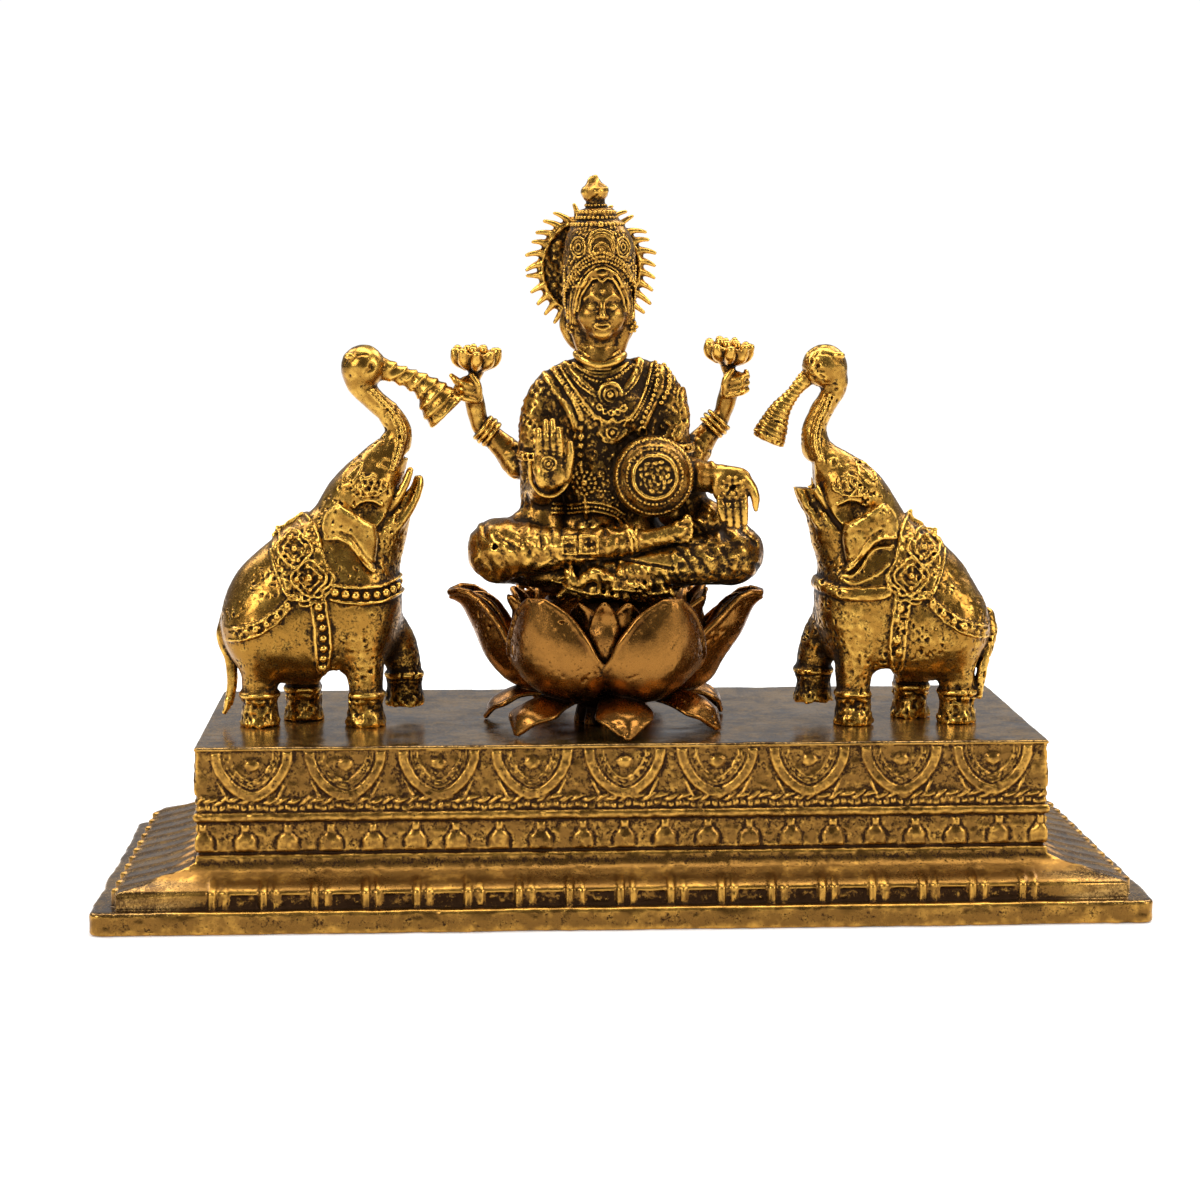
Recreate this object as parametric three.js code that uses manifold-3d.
// Seated four-armed goddess on a lotus between two elephants, on a moulded and carved plinth.
// An antique-gold tabletop casting. Millimetres, +Z up, the viewer stands on the -Y side,
// origin at the middle of the slab's underside.

import * as THREE from 'three';
import { mergeVertices } from 'three/addons/utils/BufferGeometryUtils.js';
import Module from 'manifold-3d';

const wasm = await Module();
wasm.setup();

// Plinth
const blockLength = 224;
const blockDepth = 89.5;
const blockHeight = 30.3;
const mouldingHeight = 10.8;
const mouldingReachEnds = 20.5;
const mouldingReachFront = 9.3;
const mouldingLip = 2;
const slabMarginEnds = 7.5;
const slabMarginFront = 3.7;
const slabHeight = 6.25;
const slabCornerRadius = 4;
const ribsAlongFront = 18;
const ribsAlongEnd = 9;
const ribRelief = 1.1;
const scallopsAlongFront = 9;
const scallopsAlongEnd = 2;
const scallopWidth = 18.5;
const scallopRim = 1.7;
const scallopGap = 2.1;
const scallopBoss = 2.6;
const carvingRelief = 0.9;
const topFillet = 1.4;
const topFilletRelief = 0.5;
const ledgeHeight = 2.2;
const ledgeRelief = 1.3;
const friezeHeight = 10;
const footFillet = 1.6;
const budsAlongFront = 20;
const budWidth = 7;
const budRelief = 1.2;

// Lotus seat
const lotusHeight = 34.8;
const lotusCentreX = -2.5;
const lotusCentreY = -9.5;
const stemRadius = 8.5;
const stemHeight = 4.5;
const podRadius = 23.5;
const petalThickness = 1.5;
const petalsPerRing = 6;
const petalTipRise = 1.6;
const openPetalReach = 44;
const upperPetalReach = 34;
const upperPetalWidth = 25;
const innerPetalReach = 28;
const innerPetalWidth = 17;
const footPetals = 7;
const footPetalTurn = 6;
const footPetalReach = 34.5;
const footPetalWidth = 15;
const footPetalRise = 6.2;

// Seated figure
const figureHeight = 113.5;
const seatClearance = 0.3;

// Elephants
const elephantHeight = 102.5;
const leftElephantInset = 32;
const leftElephantY = -7.5;
const rightElephantInset = 36.5;
const rightElephantY = -12;

// Heights and lengths that follow from the sizes above
const mouldingTop = slabHeight + mouldingHeight;
const plinthTop = mouldingTop + blockHeight;
const footLength = blockLength + 2 * mouldingReachEnds;
const footDepth = blockDepth + 2 * mouldingReachFront;
const slabLength = footLength + 2 * slabMarginEnds;
const slabDepth = footDepth + 2 * slabMarginFront;
const friezeTop = mouldingTop + footFillet + friezeHeight;
const scallopDrop = plinthTop - topFillet - friezeTop - ledgeHeight - scallopGap;
const buried = 0.6;

// Closed solid from a three.js geometry, with its shared vertices merged
function solidOf(geometry) {
  const bare = geometry.index ? geometry.clone() : geometry;
  bare.deleteAttribute('normal');
  bare.deleteAttribute('uv');
  const merged = mergeVertices(bare, 1e-4);
  return new wasm.Manifold(new wasm.Mesh({
    numProp: 3,
    vertProperties: new Float32Array(merged.attributes.position.array),
    triVerts: new Uint32Array(merged.index.array),
  }));
}

function joined(solids) {
  return solids.reduce((whole, piece) => whole.add(piece));
}

// Named mesh of one finished solid
function meshOf(name, solid, material) {
  const { vertProperties, triVerts } = solid.getMesh();
  const geometry = new THREE.BufferGeometry();
  geometry.setAttribute('position', new THREE.BufferAttribute(new Float32Array(vertProperties), 3));
  geometry.setIndex(new THREE.BufferAttribute(new Uint32Array(triVerts), 1));
  geometry.computeVertexNormals();
  const mesh = new THREE.Mesh(geometry, material);
  mesh.name = name;
  return mesh;
}

// Round or oval bar bent along a smooth path. Each point is [x, y, z, a, b]: a place on the
// path, the half width across the path and the half width along the axis that is given as lie.
// One ring of facets stands at each point unless steps asks for more. level keeps every section
// flat, as in a stack of slices, and folds are ring-shaped ridges in cloth wrapped round the bar.
const foldDepth = 0.5;

function bar(points, options = {}) {
  const { sides = 6, steps = points.length - 1, lie = [0, 1, 0], dome = 0.45, level, folds = 0 } = options;
  const path = new THREE.CatmullRomCurve3(points.map((p) => new THREE.Vector3(p[0], p[1], p[2])));
  const girth = new THREE.CatmullRomCurve3(
    points.map((p) => new THREE.Vector3(p[3], p[4] ?? p[3], 0)),
  );
  const geometry = new THREE.CylinderGeometry(1, 1, 1, sides, steps);
  const places = geometry.attributes.position;
  const up = new THREE.Vector3(0, 0, 1);
  for (let i = 0; i < places.count; i += 1) {
    const share = THREE.MathUtils.clamp(0.5 - places.getY(i), 0, 1);
    const along = level ? up : path.getTangent(share);
    const across = new THREE.Vector3(...lie).cross(along).normalize();
    const beside = along.clone().cross(across).normalize();
    const ripple = folds > 0 ? foldDepth * Math.cos(2 * Math.PI * folds * share) : 0;
    const size = girth.getPoint(share).addScalar(-ripple);
    const onAxis = Math.hypot(places.getX(i), places.getZ(i)) < 0.5;
    const push = onAxis ? dome * Math.min(size.x, size.y) * (share > 0.5 ? 1 : -1) : 0;
    const place = path.getPoint(share)
      .addScaledVector(along, push)
      .addScaledVector(across, places.getX(i) * size.x)
      .addScaledVector(beside, places.getZ(i) * size.y);
    places.setXYZ(i, place.x, place.y, place.z);
  }
  return solidOf(geometry);
}

function ball(x, y, z, radii, sides = 10, bands = 7) {
  const geometry = new THREE.SphereGeometry(1, sides, bands);
  geometry.rotateX(Math.PI / 2);
  geometry.scale(radii[0], radii[1], radii[2]);
  geometry.translate(x, y, z);
  return solidOf(geometry);
}

function box(lowX, highX, lowY, highY, lowZ, highZ) {
  const geometry = new THREE.BoxGeometry(highX - lowX, highY - lowY, highZ - lowZ);
  geometry.translate((lowX + highX) / 2, (lowY + highY) / 2, (lowZ + highZ) / 2);
  return solidOf(geometry);
}

// Turned piece: profile of [radius, height], axis along +Z
function turned(profile, sides) {
  const geometry = new THREE.LatheGeometry(profile.map((p) => new THREE.Vector2(p[0], p[1])), sides);
  geometry.rotateX(Math.PI / 2);
  return geometry;
}

// Flat outline in X and Z, given depth along Y between two places
function slice(outline, nearY, farY) {
  const shape = new THREE.Shape(outline.map((p) => new THREE.Vector2(p[0], p[1])));
  const geometry = new THREE.ExtrudeGeometry(shape, { depth: farY - nearY, bevelEnabled: false });
  geometry.rotateX(Math.PI / 2);
  geometry.translate(0, farY, 0);
  return solidOf(geometry);
}

function onSide(solid, turns, reach) {
  return solid.rotate([0, 0, 90 * turns]).translate(sideways(turns, reach));
}

function sideways(turns, reach) {
  const angle = turns * Math.PI / 2;
  return [Math.round(Math.sin(angle)) * reach, -Math.round(Math.cos(angle)) * reach, 0];
}

// Ribbed cyma moulding: rectangular rings from the slab up to the block. The front and the
// ends are divided into ribs, whose crests stand out between their valleys, and the back is plain.
const valleyShare = 0.2;

function ribbedMoulding() {
  const rings = [
    { up: 0, out: 1, rib: 0 },
    { up: mouldingLip / mouldingHeight, out: 1, rib: 0.25 },
    { up: 0.5, out: 0.5, rib: 1 },
    { up: 1, out: 0, rib: 0.5 },
  ];
  const outline = [];
  const corners = [[-1, -1], [1, -1], [1, 1], [-1, 1]];
  corners.forEach((from, side) => {
    const to = corners[(side + 1) % 4];
    const stops = [2 * ribsAlongFront, 2 * ribsAlongEnd, 1, 2 * ribsAlongEnd][side];
    for (let i = 0; i < stops; i += 1) {
      const share = i / stops;
      outline.push({
        x: from[0] + (to[0] - from[0]) * share,
        y: from[1] + (to[1] - from[1]) * share,
        crest: i % 2,
        side,
      });
    }
  });
  const places = [];
  rings.forEach((ring) => {
    outline.forEach((point) => {
      const relief = ring.rib * (point.crest ? ribRelief : -valleyShare * ribRelief);
      const out = sideways(point.side, relief);
      places.push(
        point.x * (blockLength / 2 + mouldingReachEnds * ring.out) + out[0],
        point.y * (blockDepth / 2 + mouldingReachFront * ring.out) + out[1],
        slabHeight + mouldingHeight * ring.up,
      );
    });
  });
  const count = outline.length;
  const faces = [];
  for (let level = 0; level < rings.length - 1; level += 1) {
    for (let i = 0; i < count; i += 1) {
      const next = (i + 1) % count;
      const low = level * count;
      const high = low + count;
      faces.push(low + i, low + next, high + next, low + i, high + next, high + i);
    }
  }
  const bottom = places.length / 3;
  places.push(0, 0, slabHeight);
  places.push(0, 0, mouldingTop);
  const top = (rings.length - 1) * count;
  for (let i = 0; i < count; i += 1) {
    const next = (i + 1) % count;
    faces.push(bottom, next, i, bottom + 1, top + i, top + next);
  }
  const geometry = new THREE.BufferGeometry();
  geometry.setAttribute('position', new THREE.Float32BufferAttribute(places, 3));
  geometry.setIndex(faces);
  return solidOf(geometry);
}

// One hanging scallop: a U-shaped rim with a small boss inside, standing out of the front face
function scallop(centreX, withBoss) {
  const topZ = plinthTop - topFillet;
  const arcSteps = 4;
  const rimArc = (halfWidth, drop) => {
    const points = [];
    for (let i = 0; i <= arcSteps; i += 1) {
      const angle = Math.PI * i / arcSteps;
      points.push([centreX - halfWidth * Math.cos(angle), topZ - drop * Math.sin(angle)]);
    }
    return points;
  };
  const outer = rimArc(scallopWidth / 2, scallopDrop);
  const inner = rimArc(scallopWidth / 2 - scallopRim, scallopDrop - scallopRim).reverse();
  const rim = slice([...outer, ...inner], -carvingRelief, buried);
  if (!withBoss) {
    return rim;
  }
  const boss = ball(centreX, 0, topZ - scallopDrop * 0.3, [scallopBoss, carvingRelief, scallopBoss], 5, 3);
  return rim.add(boss);
}

function plinth() {
  const halfLength = blockLength / 2;
  const halfDepth = blockDepth / 2;
  const corner = slabCornerRadius;
  const slabShape = new THREE.Shape();
  slabShape.moveTo(-slabLength / 2 + corner, -slabDepth / 2);
  [[1, -1, -90], [1, 1, 0], [-1, 1, 90], [-1, -1, 180]].forEach(([x, y, start]) => {
    slabShape.absarc(
      x * (slabLength / 2 - corner),
      y * (slabDepth / 2 - corner),
      corner,
      THREE.MathUtils.degToRad(start),
      THREE.MathUtils.degToRad(start + 90),
      false,
    );
  });
  const slab = solidOf(new THREE.ExtrudeGeometry(slabShape, {
    depth: slabHeight,
    bevelEnabled: false,
    curveSegments: 3,
  }));
  const block = box(-halfLength, halfLength, -halfDepth, halfDepth, mouldingTop - buried, plinthTop);
  const bandAround = (lowZ, highZ, out) => box(
    -halfLength - out,
    halfLength + out,
    -halfDepth - out,
    halfDepth + out,
    lowZ,
    highZ,
  );
  const pieces = [
    slab,
    ribbedMoulding(),
    block,
    bandAround(plinthTop - topFillet, plinthTop, topFilletRelief),
    bandAround(friezeTop, friezeTop + ledgeHeight, ledgeRelief),
    bandAround(mouldingTop - buried, mouldingTop + footFillet, ledgeRelief),
  ];
  [0, 1, 3].forEach((turns) => {
    const along = turns % 2 === 0 ? blockLength : blockDepth;
    const reach = turns % 2 === 0 ? halfDepth : halfLength;
    const count = turns % 2 === 0 ? scallopsAlongFront : scallopsAlongEnd;
    const pitch = along / count;
    for (let i = 0; i < count; i += 1) {
      pieces.push(onSide(scallop((i + 0.5) * pitch - along / 2, turns === 0), turns, reach));
    }
  });
  const budPitch = blockLength / budsAlongFront;
  for (let i = 0; i < budsAlongFront; i += 1) {
    const x = (i + 0.5) * budPitch - halfLength;
    const z = mouldingTop + footFillet + friezeHeight * 0.45;
    pieces.push(ball(x, -halfDepth, z, [budWidth / 2, budRelief, friezeHeight * 0.36], 4, 3));
  }
  return joined(pieces);
}

// Thin cupped petal. middle is its line of [radius, height] from root to tip, breadth the shares
// of its width at even steps along it, cup how far the edges turn in towards the axis.
function petal({ middle, width, breadth, cup, angle, across, along }) {
  const line = new THREE.SplineCurve(middle.map((p) => new THREE.Vector2(p[0], p[1])));
  const widths = new THREE.SplineCurve(breadth.map((w, i) => new THREE.Vector2(i, w * width / 2)));
  const geometry = new THREE.BoxGeometry(2, 1, 1, across, along, 1);
  const places = geometry.attributes.position;
  for (let i = 0; i < places.count; i += 1) {
    const sideShare = places.getX(i);
    const share = THREE.MathUtils.clamp(places.getY(i) + 0.5, 0, 1);
    const spot = line.getPoint(share);
    const slope = line.getTangent(share);
    const depth = petalThickness * (places.getZ(i) - 0.5);
    const halfWidth = widths.getPoint(share).y;
    const turn = -cup * sideShare * sideShare * halfWidth;
    const radius = spot.x + slope.y * (depth + turn);
    const height = spot.y - slope.x * (depth + turn);
    places.setXYZ(i, sideShare * halfWidth, -radius, height);
  }
  geometry.rotateZ(angle);
  return solidOf(geometry);
}

function lotusSeat() {
  const core = solidOf(turned([
    [0, 0],
    [stemRadius, 0],
    [stemRadius - 1, stemHeight],
    [(stemRadius + podRadius) * 0.42, lotusHeight * 0.21],
    [podRadius - 2, lotusHeight * 0.42],
    [podRadius, lotusHeight],
    [0, lotusHeight],
  ], 12));
  const pieces = [core];
  const tipHeight = lotusHeight + petalTipRise;
  for (let i = 0; i < petalsPerRing; i += 1) {
    const angle = (i + 0.5) / petalsPerRing * 2 * Math.PI;
    const between = angle + Math.PI / petalsPerRing;
    const opening = Math.max(0, 2 * Math.abs(Math.sin(angle)) - 1);
    const spread = (openPetalReach - upperPetalReach) * opening;
    pieces.push(petal({
      middle: [
        [stemRadius - 1.5, lotusHeight * 0.19],
        [podRadius - 0.5, lotusHeight * 0.22],
        [upperPetalReach * 0.955, lotusHeight * 0.51],
        [upperPetalReach * 1.015 + spread * 0.35, lotusHeight * 0.77],
        [upperPetalReach + spread, tipHeight],
      ],
      width: upperPetalWidth,
      breadth: [0.4, 0.84, 1, 0.8, 0.06],
      cup: 0.42,
      angle,
      across: 3,
      along: 4,
    }));
    pieces.push(petal({
      middle: [
        [stemRadius + 1.5, lotusHeight * 0.27],
        [innerPetalReach * 0.86, lotusHeight * 0.42],
        [innerPetalReach, lotusHeight * 0.71],
        [innerPetalReach * 0.98, tipHeight],
      ],
      width: innerPetalWidth,
      breadth: [0.7, 1, 0.88, 0.1],
      cup: 0.3,
      angle: between,
      across: 2,
      along: 3,
    }));
  }
  for (let i = 0; i < footPetals; i += 1) {
    pieces.push(petal({
      middle: [
        [stemRadius - 2, footPetalRise * 0.65],
        [footPetalReach * 0.45, footPetalRise],
        [footPetalReach * 0.8, footPetalRise * 0.97],
        [footPetalReach, petalThickness * 0.5],
      ],
      width: footPetalWidth,
      breadth: [0.47, 1, 0.9, 0.1],
      cup: -0.18,
      angle: THREE.MathUtils.degToRad(footPetalTurn) + i / footPetals * 2 * Math.PI,
      across: 2,
      along: 3,
    }));
  }
  const clear = 2 * openPetalReach;
  const below = box(-clear, clear, -clear, clear, -lotusHeight, 0);
  return joined(pieces).subtract(below);
}

// The figure is drawn on a grid this many squares high, from its seat to the crown's tip
const figureGrid = 114.9;

// Open hand seen from its palm: a flat outline about the palm's middle, turned by an angle,
// with tall as its length against its breadth
function hand(centre, angle, thumbSide, tall) {
  const outline = [[-2.4, -9.5], [-4.2, -3]];
  for (let i = 0; i < 4; i += 1) {
    const low = -4.3 + i * 2.15;
    const tip = 12 - Math.abs(i - 1.4) * 1.3;
    outline.push([low, 3.4], [low + 0.3, tip], [low + 1.6, tip], [low + 2, 3.2]);
  }
  outline.push([4.4, 0.6], [6.6, 4], [7.4, 2.8], [4.6, -4], [2.4, -9.5]);
  const cos = Math.cos(angle);
  const sin = Math.sin(angle);
  const placed = outline.map(([x, z]) => [
    centre[0] + thumbSide * x * cos - z * tall * sin,
    centre[2] + thumbSide * x * sin + z * tall * cos,
  ]);
  return slice(placed, centre[1], centre[1] + 2.6);
}

// Open bloom held by each rear hand: a shallow cup whose rim is drawn out into petals
function bloom(x, y, z) {
  const petals = 5;
  const cup = turned([[0, -4.8], [2.4, -3.8], [5.8, -0.4], [6.2, 2], [0, 1]], 2 * petals);
  const places = cup.attributes.position;
  for (let i = 0; i < places.count; i += 1) {
    const turn = Math.atan2(places.getY(i), places.getX(i)) * petals;
    const radius = Math.hypot(places.getX(i), places.getY(i));
    const drawn = radius > 4.5 ? 1 + 0.14 * Math.cos(turn) : 1;
    places.setXYZ(i, x + places.getX(i) * drawn, y + places.getY(i) * drawn, z + places.getZ(i));
  }
  return solidOf(cup);
}

// Ring of flame-shaped rays behind the head, cut from one plate
function halo() {
  const rays = 25;
  const centre = [-4.3, 89];
  const outline = [];
  for (let i = 0; i < rays; i += 1) {
    [[-0.42, 13], [0.06, 18.4]].forEach(([off, radius]) => {
      const angle = ((i + off) / (rays - 1) - 0.5) * THREE.MathUtils.degToRad(290);
      outline.push([centre[0] + Math.sin(angle) * radius, centre[1] + Math.cos(angle) * radius]);
    });
  }
  return slice(outline, 7.6, 9.2);
}

function headAndCrown() {
  const crown = turned([
    [0, 86],
    [9.2, 86],
    [9.8, 96.5],
    [7.2, 98.4],
    [7, 101.4],
    [2.5, 106.2],
    [4, 110.6],
    [0, figureGrid],
  ], 8);
  const places = crown.attributes.position;
  for (let i = 0; i < places.count; i += 1) {
    const lean = -2 - 0.055 * Math.max(0, places.getZ(i) - 86);
    places.setX(i, places.getX(i) + lean);
  }
  return [
    bar([[-2.6, 1, 60, 6.2, 6], [-2.5, 0.5, 67, 5, 5], [-2, 0, 73, 5, 5.5]]),
    ball(-1.8, -1, 78.8, [7.1, 8.2, 10.4], 8, 6),
    bar([
      [-1.8, -8.6, 80.5, 0.9],
      [-1.8, -9.9, 76.2, 1.5],
      [-1.8, -8.6, 75, 0.6],
    ], { sides: 4, lie: [1, 0, 0] }),
    ball(-2.2, 4, 76.5, [8.8, 5.6, 11], 7, 4),
    solidOf(crown),
    ball(-2.3, -8.2, 93, [4, 2.4, 4.4], 6, 3),
    ball(-9.2, 0.6, 73, [1.8, 2.4, 2.6], 4, 3),
    ball(5.6, 0.6, 73, [1.8, 2.4, 2.6], 4, 3),
  ];
}

function torso() {
  const trunk = (more) => bar([
    [0.5, 3, 2, 19 + more, 14 + more],
    [0.5, 2.5, 14, 16 + more, 12 + more],
    [-0.5, 2.5, 26, 13 + more, 9 + more],
    [-1, 2, 40, 15 + more, 10 + more],
    [-0.6, 2, 53, 19 + more, 8.6 + more],
    [0, 2, 61.5, 13.5 + more, 6.5 + more],
    [-2, 1.5, 66, 6 + more, 5.2 + more],
  ], { sides: 8, level: true, dome: 0 });
  const relief = trunk(1.1);
  const sash = (points) => relief.intersect(slice(points, -30, 3));
  return [
    trunk(0),
    sash([[-13.5, 63], [-9.5, 63], [-1, 46], [7, 63], [10.5, 63], [1, 41], [-2.5, 41]]),
    sash([[-17, 58], [-14, 60.5], [-6, 42], [-3.5, 22], [-6.5, 22], [-9, 41]]),
    ball(-1, -7.4, 51.5, [3, 2.4, 3], 5, 3),
    ball(-1, -8.6, 41, [3.4, 2, 2.6], 5, 3),
  ];
}

// Crossed legs in folded cloth: the leg that shows in front runs level from the left knee to
// the right foot, the other passes below it, and a fan of pleats falls between them
function legs() {
  const flat = { lie: [0, 0, 1] };
  const shin = { sides: 6, steps: 8, lie: [0, 0, 1], folds: 4 };
  const pleats = [];
  for (let i = 0; i < 4; i += 1) {
    const fan = (i - 1.5) / 1.5;
    pleats.push(bar([
      [3 + fan * 3, -17, 7, 1.4],
      [3 + fan * 9, -21 + Math.abs(fan) * 2, 1.4, 2],
    ], { sides: 3, lie: [1, 0, 0] }));
  }
  return [
    bar([[-8, 9, 10, 10, 10], [-20, 2, 11.6, 9.8, 9.6], [-31, -6, 12, 9, 8.6]], flat),
    bar([
      [-34.4, -5, 12, 7, 7.4],
      [-29, -8.5, 12, 8.4, 8.6],
      [-15, -15.4, 12.6, 6.2, 6.4],
      [-2, -17.5, 13.5, 5.2, 5.4],
      [9, -17, 15, 3.8, 3.8],
    ], shin),
    bar([
      [8, -17, 15, 3.2, 3.6],
      [15, -16.5, 16.5, 2.6, 3.8],
      [21.5, -15.5, 18, 1.6, 3],
    ], { sides: 6, lie: [0, 0, 1] }),
    bar([[9, 9, 10, 10, 10], [22, 3, 11, 9.4, 9], [34.4, -4, 11, 9, 8.4]], flat),
    bar([
      [38, -3.4, 10.4, 7, 6.8],
      [33, -7, 10, 8.4, 8],
      [20, -12.4, 9, 6, 6],
      [5, -15, 8, 5, 5.4],
      [-8, -15, 7.5, 4, 4.6],
    ], shin),
    ball(1, -3, 6, [27, 17, 7.5], 8, 3),
    ...pleats,
  ];
}

function frontArms() {
  return [
    bar([
      [-14, 2, 58, 5, 5.5],
      [-19, 2, 52.5, 5.6, 6],
      [-20, 1.5, 40, 5, 5.6],
      [-20, 0, 29.5, 4.8, 5],
      [-19, -7, 28, 4, 4.2],
      [-17.4, -12.5, 30.5, 3.4, 3.2],
    ], { lie: [1, 0, 0] }),
    hand([-17, -15.2, 39.8], 0.02, 1, 1),
    bar([
      [10, 2, 60.5, 5.4, 5.5],
      [16.6, 2, 56, 5.8, 6],
      [18, 1.5, 43, 5, 5.4],
      [18.6, 0, 34, 5, 5.4],
      [23, -7, 34.5, 4.6, 5],
      [30, -13, 34.6, 3.6, 3.6],
    ], { lie: [0.5, 0.5, 0.7] }),
    hand([34, -16, 29.4], Math.PI + 0.1, -1, 0.8),
    bar([[-17.6, 1, 31, 5], [-17.6, -2, 20, 6.4], [-18, -3, 10, 7]], { sides: 6 }),
    bar([[20, -2, 33, 5], [25.6, -5, 22, 4.4], [30, -6, 12, 6]], { sides: 6, lie: [0, 0.5, 0.8] }),
  ];
}

function rearArm(side, elbow, wrist, handTop, flower) {
  const bangle = 3.7;
  return [
    bar([
      [side * 13, 6.5, 46, 5],
      [elbow[0], 7.5, elbow[1], 5],
      [wrist[0] - side * 3.4, 8, wrist[1] - 3, 3],
      [wrist[0] - side * 2.8, 8, wrist[1] - 2.4, bangle],
      [wrist[0] + side * 0.6, 8, wrist[1] + 1, bangle],
      [wrist[0] + side * 1.2, 8, wrist[1] + 1.8, 2.6],
      [handTop[0] + side, 8, (wrist[1] + handTop[1]) / 2 + 1, 3.2],
      [handTop[0], 8, handTop[1] + 1, 2],
      [flower[0], 8, flower[1] - 3, 1.2],
    ]),
    bar([
      [handTop[0] + side * 1.4, 7.6, handTop[1] - 5, 1.2],
      [handTop[0] + side * 4, 7.2, handTop[1] + 1.5, 0.9],
    ], { sides: 4 }),
    bloom(flower[0], 8, flower[1]),
  ];
}

// Round pot whose mouth faces the viewer, rimmed with a raised ring
function pot() {
  const body = turned([
    [0, -10],
    [7.5, -8],
    [11.2, 0],
    [9.4, 6],
    [7, 9.4],
    [5.4, 9.6],
    [5, 8.4],
    [0, 8.4],
  ], 10);
  body.rotateX(Math.PI / 2 + 0.08);
  body.translate(11.6, -11, 32.6);
  return solidOf(body);
}

function seatedGoddess() {
  const pieces = [
    ...torso(),
    ...legs(),
    ...frontArms(),
    ...rearArm(-1, [-22.6, 36], [-34.2, 46.6], [-37.4, 59], [-36.2, 66]),
    ...rearArm(1, [21.6, 37.4], [31.2, 48], [34.6, 59.6], [33.2, 67.4]),
    pot(),
    halo(),
    ...headAndCrown(),
  ];
  const below = box(-figureGrid, figureGrid, -figureGrid, figureGrid, -figureGrid, 0);
  return joined(pieces).subtract(below);
}

// Each elephant is drawn on a grid this many squares high, from its soles to the trunk's top.
// +x of the grid is forward, and facing is 1 where that is the part's +X and -1 where it isn't.
const elephantGrid = 102.5;

function elephant({ facing, trunk, vessel, spout, tailTip }) {
  const turn = (points) => points.map((p) => [facing * p[0], ...p.slice(1)]);
  const part = (points, options) => bar(turn(points), options);
  const plate = (outline, nearY, farY) => slice(turn(outline), nearY, farY);
  const body = (more) => part([
    [-4, 0, 13.5, 15 + more, 7.5 + more],
    [-4.2, 0, 18, 22 + more, 11.4 + more],
    [-4.2, 0, 26, 24.6 + more, 13 + more],
    [-3, 0, 35, 24 + more, 13 + more],
    [-0.2, 0, 43, 21.2 + more, 12 + more],
    [4.4, 0, 50, 18.2 + more, 10.4 + more],
    [8.4, 0, 56, 15 + more, 9 + more],
    [11, 0, 61, 9 + more, 7 + more],
  ], { sides: 8, level: true, dome: 0.1 });
  const foot = (x, y, z) => [
    [x, y, z + 9.7, 5.5],
    [x, y, z + 7.4, 5.8],
    [x, y, z + 6.4, 4.8],
    [x, y, z, 5.6],
  ];
  const leg = (x, y, topX, topZ, thick) => part([
    [topX, y * 0.9, topZ, thick + 1.5, thick],
    [(x + topX) / 2, y, (topZ + 9) / 2 + 1, thick, thick * 0.95],
    ...foot(x, y, 0),
  ], { dome: 0 });
  const ear = (side) => plate([
    [-1, 57.5],
    [4.6, 60.2],
    [8.6, 55.4],
    [14.6, 53.6],
    [13.5, 41],
    [7.2, 48.8],
    [-0.8, 50.2],
  ], side < 0 ? -12.6 : 9.8, side < 0 ? -9.8 : 12.6);
  const strap = (outline) => plate(outline, -20, 20);
  const tusk = (side) => part([
    [18.5, side * 3.6, 60.5, 1.7],
    [22, side * 4.4, 64.6, 1.3],
    [24.2, side * 4.4, 69.4, 0.6],
  ], { sides: 4 });
  return joined([
    body(0),
    part(trunk, { sides: 6 }),
    part([
      [13, 0, 51, 8, 7],
      [18.5, 0, 56.8, 5.6, 5],
      [22.6, 0, 61.4, 3, 3.6],
      [24.9, 0, 65.6, 1.1, 2.4],
    ], { sides: 6 }),
    tusk(-1),
    tusk(1),
    ear(-1),
    ear(1),
    ball(facing * vessel[0], 0, vessel[1], [6.1, 5.6, 6.1], 8, 5),
    part(spout, { dome: -0.2 }),
    leg(-17.6, -4.6, -16, 24, 8),
    leg(-6.3, 5.2, -12, 24, 8),
    leg(11.1, -6, 10.5, 28, 7.6),
    part([
      [12, 5.6, 28, 8, 7],
      [18.6, 6, 22.6, 6, 5.6],
      ...foot(20.6, 6, 3.6),
    ], { dome: 0 }),
    part([
      [-27, 0, 29, 1.8],
      [-25.2, -2, 14, 1.6],
      [tailTip, -3, 5, 0.9],
    ], { sides: 4 }),
    body(1.3).intersect(joined([
      strap([[-17, 50], [-6, 62], [2, 52], [3.4, 40], [-3, 31.4], [-12, 42]]),
      strap([[0, 39.6], [26, 38.6], [26, 34.4], [-2, 35.4]]),
      strap([[-4.6, 36], [-0.2, 36], [1.4, 22], [-0.8, 14.5], [-3.4, 22]]),
      strap([[-5, 38], [-2.4, 33], [-16, 27.6], [-30, 25.8], [-30, 29.4], [-17, 31.2]]),
    ])),
  ]);
}

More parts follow.
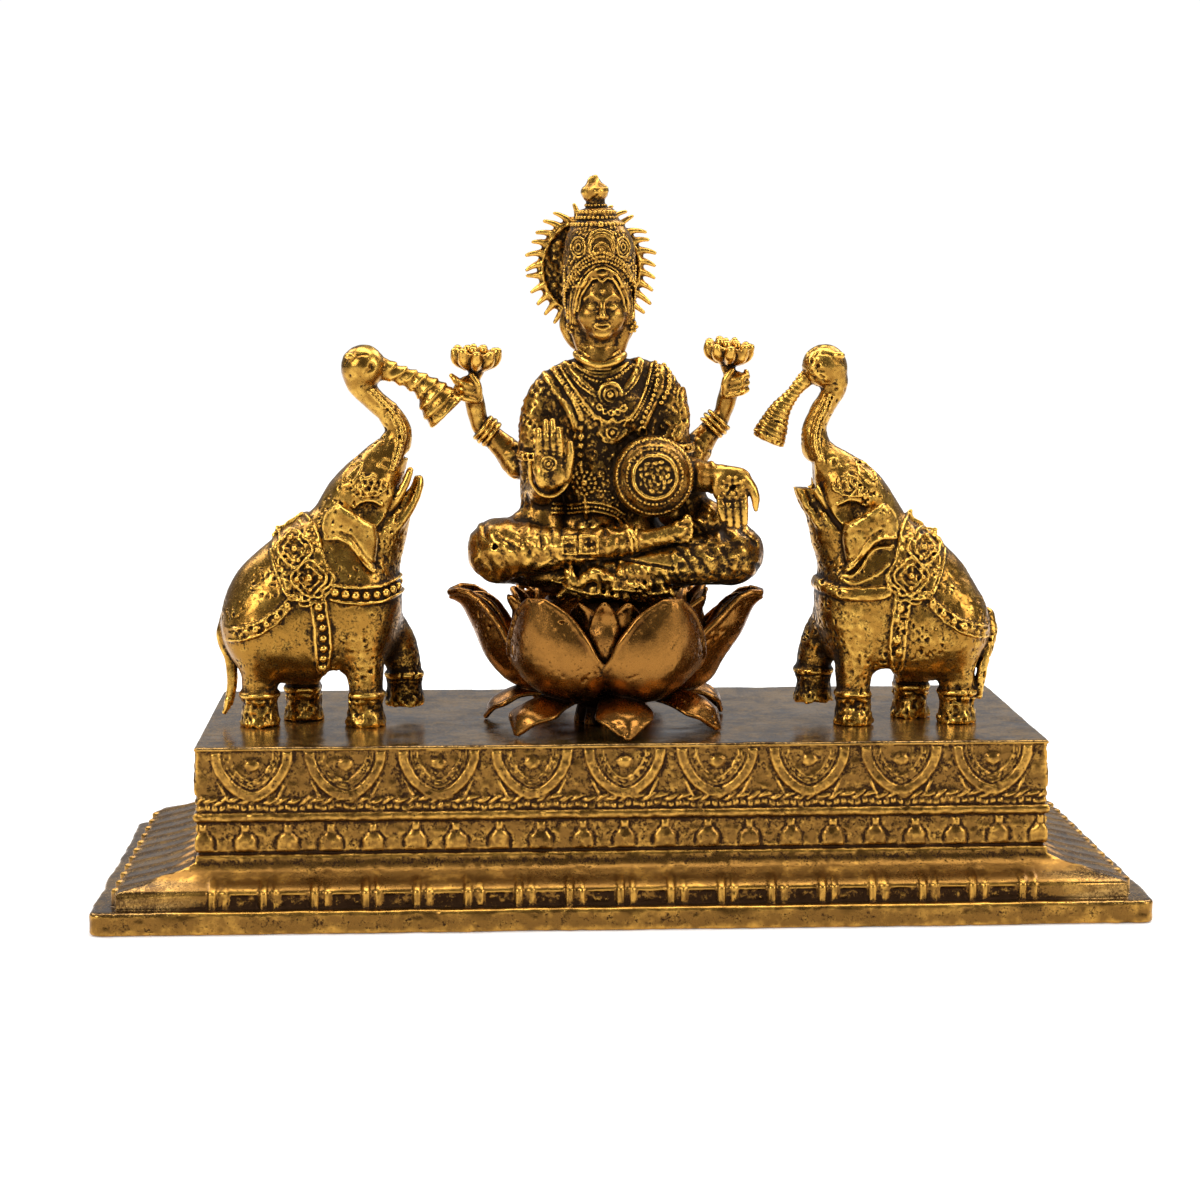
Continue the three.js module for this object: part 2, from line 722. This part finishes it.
const leftTrunk = [
  [5, 0, 53, 9, 8.4],
  [10, 0, 62, 9.4, 8.4],
  [15.2, 0, 69, 6.8, 6.6],
  [19.2, 0, 75.5, 4, 4.2],
  [20.2, 0, 80, 3.1, 3.4],
  [17.6, 0, 84.2, 2.9, 3.1],
  [13.8, 0, 88, 3.1, 3.2],
  [11.4, 0, 92, 3.6, 3.6],
  [11.4, 0, 95, 3, 3],
];
const leftSpout = [
  [15, 0, 97.4, 2.2],
  [21.5, 0, 95, 2.1],
  [26.8, 0, 92, 2.5],
  [30.6, 0, 88.6, 3.4],
  [34, 0, 83.4, 5.2, 4],
];
const rightTrunk = [
  [5, 0, 53, 9, 8.4],
  [10, 0, 61.5, 9.4, 8.4],
  [15.6, 0, 68, 7, 6.6],
  [20.6, 0, 73.5, 4.4, 4.4],
  [21.8, 0, 79, 3.3, 3.5],
  [20.4, 0, 84, 3, 3.2],
  [18.2, 0, 88.4, 3.1, 3.2],
  [17.6, 0, 92, 3.4, 3.4],
  [18.6, 0, 95, 3, 3],
];
const rightSpout = [
  [22.4, 0, 94, 2.2],
  [27.2, 0, 90.4, 2.1],
  [30.8, 0, 86, 2.5],
  [33.2, 0, 81.2, 3.5],
  [34.4, 0, 76, 4.7, 3.8],
];

const brass = (color, roughness) => new THREE.MeshStandardMaterial({ color, roughness, metalness: 1 });
const antiqueGold = 0xa9803a;
const copperBrown = 0x8a5526;
const darkBronze = 0x8c6a30;

const group = new THREE.Group();

const base = meshOf('plinth', plinth(), brass(darkBronze, 0.42));
group.add(base);

const lotus = meshOf('lotus_seat', lotusSeat(), brass(copperBrown, 0.32));
lotus.position.set(lotusCentreX, lotusCentreY, plinthTop);
group.add(lotus);

const goddess = meshOf('seated_goddess', seatedGoddess(), brass(antiqueGold, 0.34));
goddess.scale.setScalar(figureHeight / figureGrid);
goddess.position.set(lotusCentreX, lotusCentreY, plinthTop + lotusHeight + seatClearance);
group.add(goddess);

const leftSolid = elephant({
  facing: 1,
  trunk: leftTrunk,
  vessel: [11.2, 96.6],
  spout: leftSpout,
  tailTip: -27,
});
const leftElephant = meshOf('left_elephant', leftSolid, brass(antiqueGold, 0.36));
leftElephant.scale.setScalar(elephantHeight / elephantGrid);
leftElephant.position.set(leftElephantInset - blockLength / 2, leftElephantY, plinthTop);
group.add(leftElephant);

const rightSolid = elephant({
  facing: -1,
  trunk: rightTrunk,
  vessel: [19.2, 96.6],
  spout: rightSpout,
  tailTip: -23,
});
const rightElephant = meshOf('right_elephant', rightSolid, brass(antiqueGold, 0.38));
rightElephant.scale.setScalar(elephantHeight / elephantGrid);
rightElephant.position.set(blockLength / 2 - rightElephantInset, rightElephantY, plinthTop);
group.add(rightElephant);

export default group;
